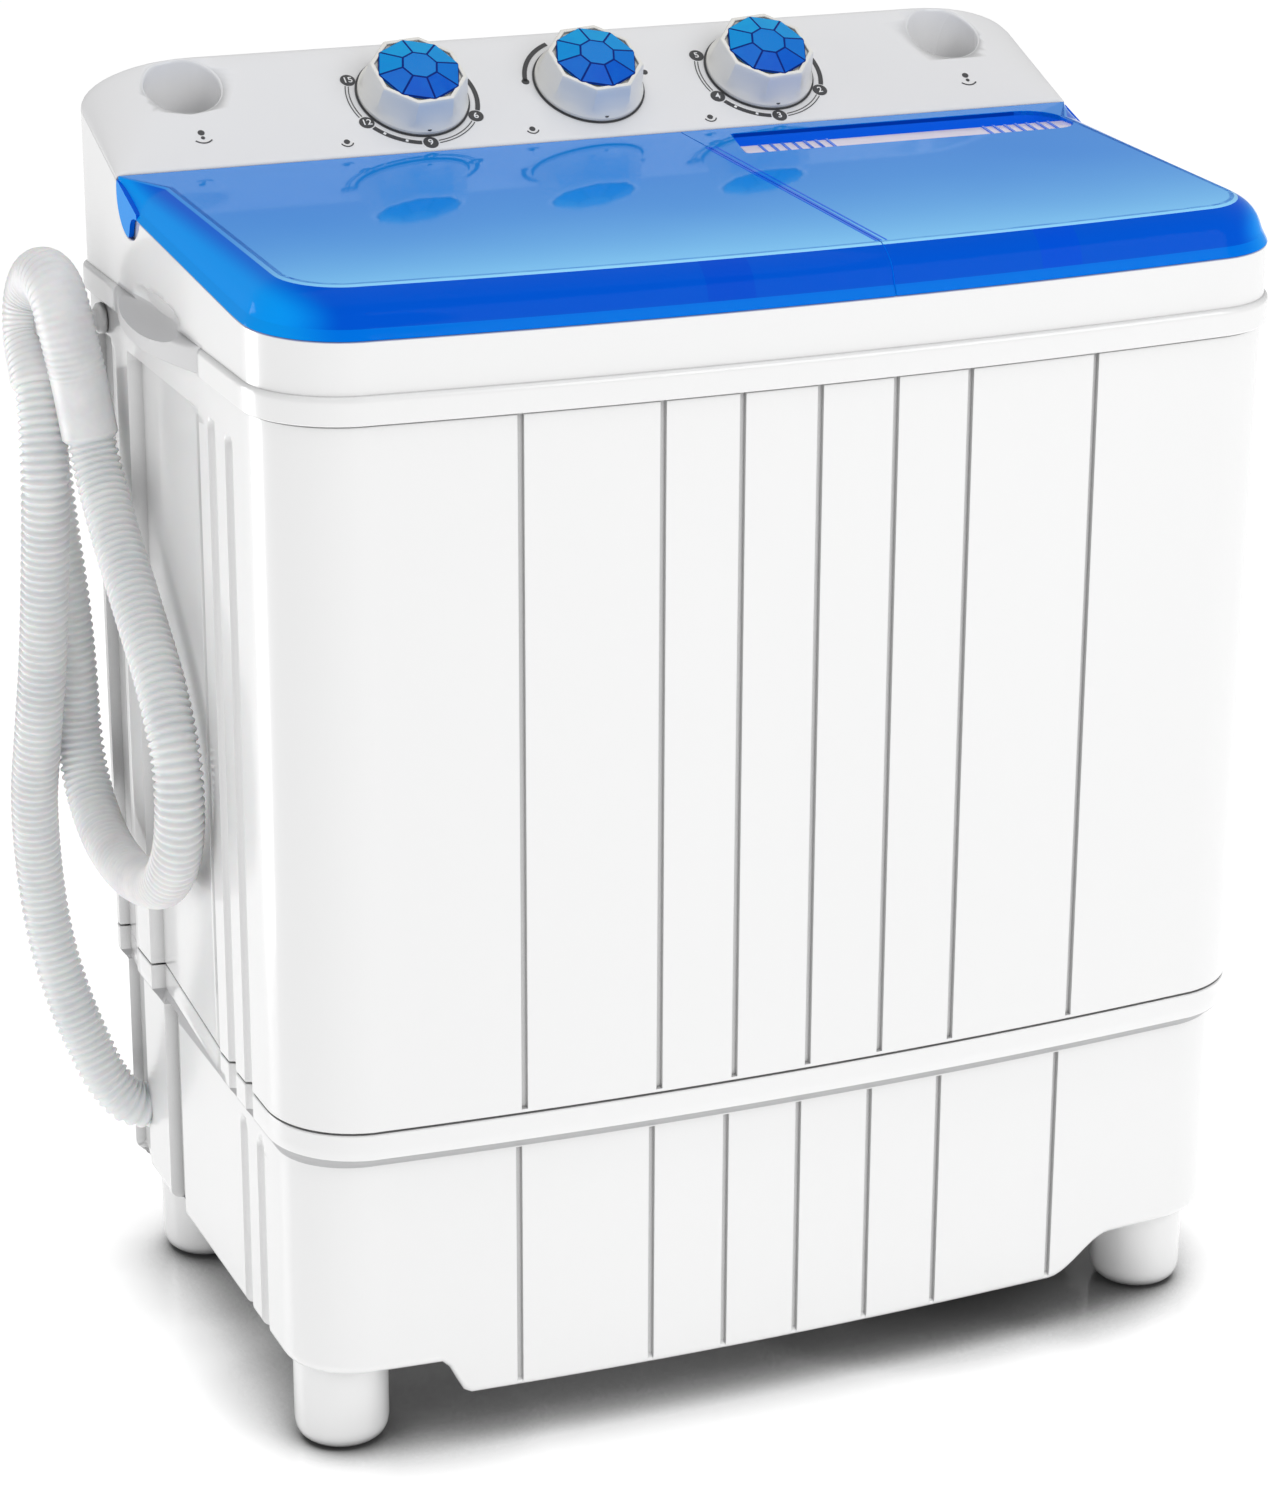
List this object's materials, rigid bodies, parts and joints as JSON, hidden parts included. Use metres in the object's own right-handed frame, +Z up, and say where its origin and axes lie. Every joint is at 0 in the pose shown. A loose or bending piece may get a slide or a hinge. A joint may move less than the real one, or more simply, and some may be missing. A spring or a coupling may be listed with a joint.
{
  "type": "twin tub washer",
  "caption": "Portable twin tub washer: wash tub with pulsator and spin basket under hinged blue lids, sloping console with knobs, feet and a hung drain hose.",
  "frame": {"origin": "on the floor, under the middle of the overall envelope with hose and cord; the cabinet's own middle is at x = 22 mm, y = -8.3 mm", "axes": "+X to the right seen from the front, +Y to the back, +Z up"},
  "size_m": [0.646, 0.3733, 0.7124],
  "materials": {
    "white_plastic": "glossy white ABS",
    "hose_plastic": "satin white polyethylene",
    "satin_plastic": "satin polypropylene",
    "blue_lid": "glossy translucent blue plastic",
    "blue_cap": "glossy faceted blue plastic",
    "pale_strip": "smooth pale lavender plastic",
    "grey_plastic": "satin pale grey polypropylene",
    "rubber": "matte black rubber",
    "black_plastic": "fine grained black plastic",
    "steel": "zinc plated and brushed steel",
    "motor_paint": "dark grey paint on pressed steel",
    "aluminium": "cast and turned aluminium"
  },
  "bodies": {
    "machine": {"base": "white_plastic", "spin_motor_guard": "white_plastic", "foot_front_left": "white_plastic", "foot_front_right": "white_plastic", "foot_rear_left": "white_plastic", "foot_rear_right": "white_plastic", "cabinet": "white_plastic", "service_cover": "white_plastic", "top_frame": "white_plastic", "control_panel": "white_plastic", "inlet_bowl_left": "white_plastic", "inlet_bowl_right": "white_plastic", "hose_hook": "white_plastic", "drain_hose": "hose_plastic", "tub_body": "satin_plastic", "wash_timer_box": "satin_plastic", "wash_selector_box": "satin_plastic", "spin_timer_box": "satin_plastic", "drain_valve": "satin_plastic", "wash_drain_elbow": "satin_plastic", "spin_drain_tube": "satin_plastic", "lint_filter": "grey_plastic", "drive_belt": "rubber", "spin_bellows": "rubber", "spin_motor_mount_1": "rubber", "spin_motor_mount_2": "rubber", "spin_motor_mount_3": "rubber", "spin_lid_switch": "black_plastic", "brake_cable": "black_plastic", "power_cord": "black_plastic", "power_plug": "black_plastic", "service_cover_screw_1": "steel", "service_cover_screw_2": "steel", "service_cover_screw_3": "steel", "service_cover_screw_4": "steel", "wash_motor": "motor_paint", "spin_motor": "motor_paint", "pulsator_bearing": "aluminium", "motor_capacitor": "aluminium"},
    "wash_lid": {"wash_lid": "blue_lid"},
    "spin_lid": {"spin_lid": "blue_lid", "spin_lid_strip": "pale_strip"},
    "wash_timer_knob": {"wash_timer_knob": "white_plastic", "wash_timer_cap": "blue_cap"},
    "wash_selector_knob": {"wash_selector_knob": "white_plastic", "wash_selector_cap": "blue_cap"},
    "spin_timer_knob": {"spin_timer_knob": "white_plastic", "spin_timer_cap": "blue_cap"},
    "pulsator": {"pulsator": "grey_plastic", "pulsator_shaft": "steel", "pulsator_pulley": "black_plastic"},
    "wash_motor_rotor": {"wash_motor_shaft": "steel", "wash_motor_pulley": "aluminium"},
    "spin_basket": {"spin_basket": "grey_plastic", "spin_shaft": "steel", "brake_drum": "aluminium"},
    "brake_lever": {"brake_lever": "steel", "brake_shoe": "rubber"},
    "drain_plunger": {"drain_plunger": "rubber", "drain_pull_rod": "steel"}
  },
  "joints": [
    {"name": "wash_lid_hinge", "type": "hinge", "parent": "machine", "child": "wash_lid", "pos_m": [-0.102, 0.0707, 0.65], "axis": [-1, 0, 0], "range_deg": [0, 92]},
    {"name": "spin_lid_hinge", "type": "hinge", "parent": "machine", "child": "spin_lid", "pos_m": [0.187, 0.0707, 0.65], "axis": [-1, 0, 0], "range_deg": [0, 92]},
    {"name": "wash_timer_turn", "type": "hinge", "parent": "machine", "child": "wash_timer_knob", "pos_m": [-0.084, 0.12774, 0.68155], "axis": [0, -0.5446, 0.8387], "range_deg": [-295, 0]},
    {"name": "wash_selector_turn", "type": "hinge", "parent": "machine", "child": "wash_selector_knob", "pos_m": [0.022, 0.12774, 0.68155], "axis": [0, -0.5446, 0.8387], "range_deg": [-163, 0]},
    {"name": "spin_timer_turn", "type": "hinge", "parent": "machine", "child": "spin_timer_knob", "pos_m": [0.128, 0.12774, 0.68155], "axis": [0, -0.5446, 0.8387], "range_deg": [-295, 0]},
    {"name": "pulsator_turn", "type": "hinge", "parent": "machine", "child": "pulsator", "pos_m": [-0.094, -0.0413, 0.24], "axis": [0, 0, 1], "continuous": true},
    {"name": "wash_motor_turn", "type": "hinge", "parent": "machine", "child": "wash_motor_rotor", "pos_m": [-0.173, 0.0667, 0.166], "axis": [0, 0, 1], "continuous": true},
    {"name": "spin_basket_turn", "type": "hinge", "parent": "machine", "child": "spin_basket", "pos_m": [0.179, -0.0413, 0.32], "axis": [0, 0, 1], "continuous": true},
    {"name": "brake_lever_turn", "type": "hinge", "parent": "machine", "child": "brake_lever", "pos_m": [0.234, -0.1003, 0.211], "axis": [0, 0, 1], "range_deg": [0, 4.2]},
    {"name": "drain_plunger_lift", "type": "slide", "parent": "machine", "child": "drain_plunger", "axis": [0, 0, 1], "range_m": [0, 0.012]}
  ],
  "couplings": [
    {"joint": "wash_motor_turn", "follows": "pulsator_turn", "ratio": 4.31},
    {"joint": "brake_lever_turn", "follows": "spin_lid_hinge", "ratio": 0.0456},
    {"joint": "drain_plunger_lift", "follows": "wash_selector_turn", "m_per_rad": -0.0042}
  ]
}
